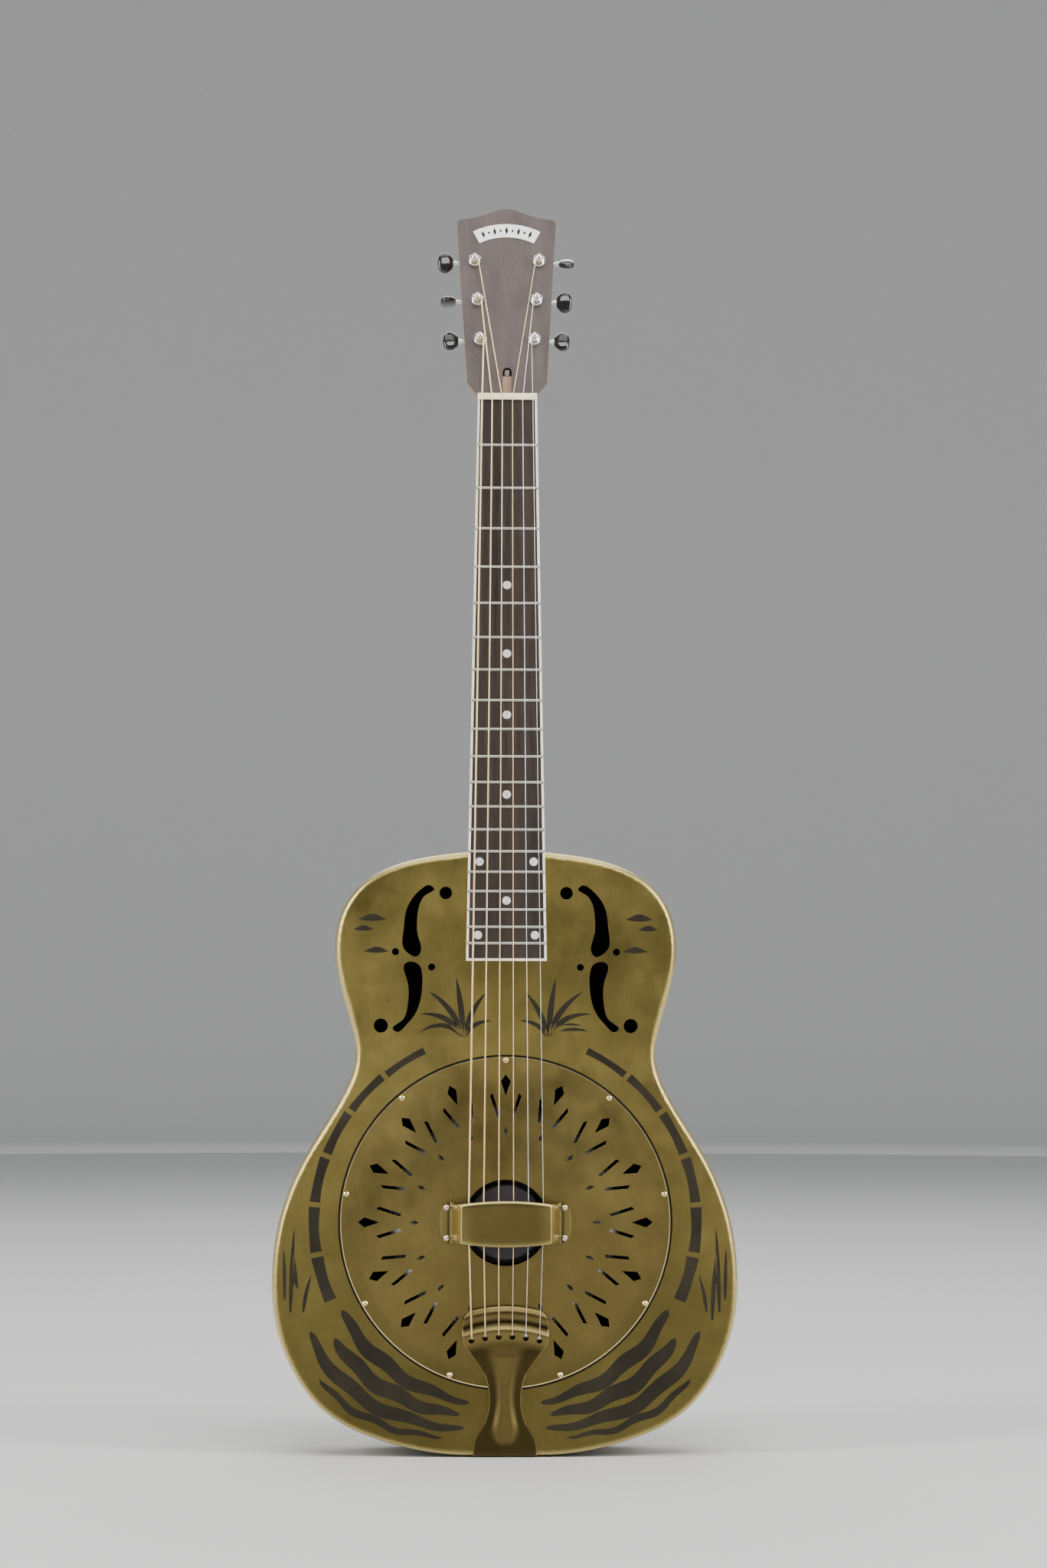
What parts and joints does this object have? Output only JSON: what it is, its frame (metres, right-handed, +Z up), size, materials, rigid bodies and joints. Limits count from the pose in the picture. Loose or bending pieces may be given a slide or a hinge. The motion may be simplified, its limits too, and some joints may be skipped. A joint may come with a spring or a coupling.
{
  "type": "resonator guitar",
  "caption": "Metal-bodied resonator guitar: pierced domed cover over a spun cone, bound neck, slotted-gear tuners, brass tailpiece.",
  "frame": {"origin": "centre of the flat underside of the tailpiece tab, the lowest point of the upright guitar, at mid depth of the body", "axes": "+Z up along the strings towards the headstock, -Y out of the front, +X to the treble side"},
  "size_m": [0.3622, 0.109, 0.9833],
  "materials": {
    "antique_brass": "satin antique",
    "plate_brass": "satin antique",
    "rest_brass": "satin antique",
    "dark_brass": "antique, darkened in the hollows",
    "plain_brass": "mill",
    "bright_brass": "polished",
    "gear_brass": "machined",
    "spun_aluminium": "bright spun",
    "biscuit_wood": "matte",
    "saddle_wood": "matte",
    "stick_wood": "raw",
    "neck_wood": "satin lacquer",
    "headstock_veneer": "open-grain matte",
    "board_wood": "oiled",
    "binding_ivory": "gloss",
    "badge_white": "gloss",
    "pearl": "pearl",
    "bone": "polished bone",
    "fret_wire": "polished nickel silver",
    "nickel": "polished nickel",
    "steel": "plain",
    "string_steel": "bright plain wire",
    "string_bronze": "bright wound bronze",
    "button_black": "high gloss"
  },
  "bodies": {
    "guitar": {"body_top": "antique_brass", "body_sides": "antique_brass", "body_back": "antique_brass", "soundwell": "plain_brass", "neck_stick": "stick_wood", "stick_pads": "stick_wood", "resonator_cone": "spun_aluminium", "biscuit": "biscuit_wood", "biscuit_saddle": "saddle_wood", "biscuit_screw": "steel", "coverplate": "plate_brass", "coverplate_screws": "bright_brass", "handrest": "rest_brass", "handrest_screws": "nickel", "tailpiece": "dark_brass", "tailpiece_screws": "steel", "neck": "neck_wood", "headstock_overlay": "headstock_veneer", "headstock_badge": "badge_white", "truss_rod": "steel", "fingerboard": "board_wood", "fingerboard_binding": "binding_ivory", "frets": "fret_wire", "fret_markers": "pearl", "fingerboard_wedge": "board_wood", "nut": "bone", "tuner_plates": "nickel", "tuner_plate_screws": "nickel", "tuner_bushings": "nickel", "string_1": "string_steel", "string_2": "string_steel", "string_3": "string_bronze", "string_4": "string_bronze", "string_5": "string_bronze", "string_6": "string_bronze"},
    "worm_1": {"tuner_worm_1": "nickel", "tuner_button_1": "button_black"},
    "post_1": {"tuner_post_1": "nickel", "tuner_gear_1": "gear_brass"},
    "worm_2": {"tuner_worm_2": "nickel", "tuner_button_2": "button_black"},
    "post_2": {"tuner_post_2": "nickel", "tuner_gear_2": "gear_brass"},
    "worm_3": {"tuner_worm_3": "nickel", "tuner_button_3": "button_black"},
    "post_3": {"tuner_post_3": "nickel", "tuner_gear_3": "gear_brass"},
    "worm_4": {"tuner_worm_4": "nickel", "tuner_button_4": "button_black"},
    "post_4": {"tuner_post_4": "nickel", "tuner_gear_4": "gear_brass"},
    "worm_5": {"tuner_worm_5": "nickel", "tuner_button_5": "button_black"},
    "post_5": {"tuner_post_5": "nickel", "tuner_gear_5": "gear_brass"},
    "worm_6": {"tuner_worm_6": "nickel", "tuner_button_6": "button_black"},
    "post_6": {"tuner_post_6": "nickel", "tuner_gear_6": "gear_brass"},
    "truss_adjuster": {"truss_nut": "steel"}
  },
  "joints": [
    {"name": "tuner_1_turn", "type": "hinge", "parent": "guitar", "child": "worm_1", "pos_m": [0.0215, -0.00416, 0.87658], "axis": [1, 0, 0], "continuous": true},
    {"name": "post_1_turn", "type": "hinge", "parent": "guitar", "child": "post_1", "pos_m": [0.0215, -0.02722, 0.8746], "axis": [0, -0.9735, 0.2285], "continuous": true},
    {"name": "tuner_2_turn", "type": "hinge", "parent": "guitar", "child": "worm_2", "pos_m": [0.0235, 0.00352, 0.90929], "axis": [1, 0, 0], "continuous": true},
    {"name": "post_2_turn", "type": "hinge", "parent": "guitar", "child": "post_2", "pos_m": [0.0235, -0.01954, 0.90731], "axis": [0, -0.9735, 0.2285], "continuous": true},
    {"name": "tuner_3_turn", "type": "hinge", "parent": "guitar", "child": "worm_3", "pos_m": [0.02555, 0.01116, 0.94181], "axis": [1, 0, 0], "continuous": true},
    {"name": "post_3_turn", "type": "hinge", "parent": "guitar", "child": "post_3", "pos_m": [0.02555, -0.01191, 0.93983], "axis": [0, -0.9735, 0.2285], "continuous": true},
    {"name": "tuner_4_turn", "type": "hinge", "parent": "guitar", "child": "worm_4", "pos_m": [-0.02555, 0.01116, 0.94181], "axis": [1, 0, 0], "continuous": true},
    {"name": "post_4_turn", "type": "hinge", "parent": "guitar", "child": "post_4", "pos_m": [-0.02555, -0.01191, 0.93983], "axis": [0, -0.9735, 0.2285], "continuous": true},
    {"name": "tuner_5_turn", "type": "hinge", "parent": "guitar", "child": "worm_5", "pos_m": [-0.0235, 0.00352, 0.90929], "axis": [1, 0, 0], "continuous": true},
    {"name": "post_5_turn", "type": "hinge", "parent": "guitar", "child": "post_5", "pos_m": [-0.0235, -0.01954, 0.90731], "axis": [0, -0.9735, 0.2285], "continuous": true},
    {"name": "tuner_6_turn", "type": "hinge", "parent": "guitar", "child": "worm_6", "pos_m": [-0.0215, -0.00416, 0.87658], "axis": [1, 0, 0], "continuous": true},
    {"name": "post_6_turn", "type": "hinge", "parent": "guitar", "child": "post_6", "pos_m": [-0.0215, -0.02722, 0.8746], "axis": [0, -0.9735, 0.2285], "continuous": true},
    {"name": "truss_nut_turn", "type": "hinge", "parent": "guitar", "child": "truss_adjuster", "pos_m": [0, -0.02953, 0.84684], "axis": [0, 0.0211, 0.9998], "range_deg": [-180, 180]}
  ],
  "couplings": [
    {"joint": "post_1_turn", "follows": "tuner_1_turn", "ratio": 0.071429},
    {"joint": "post_2_turn", "follows": "tuner_2_turn", "ratio": 0.071429},
    {"joint": "post_3_turn", "follows": "tuner_3_turn", "ratio": 0.071429},
    {"joint": "post_4_turn", "follows": "tuner_4_turn", "ratio": 0.071429},
    {"joint": "post_5_turn", "follows": "tuner_5_turn", "ratio": 0.071429},
    {"joint": "post_6_turn", "follows": "tuner_6_turn", "ratio": 0.071429}
  ]
}
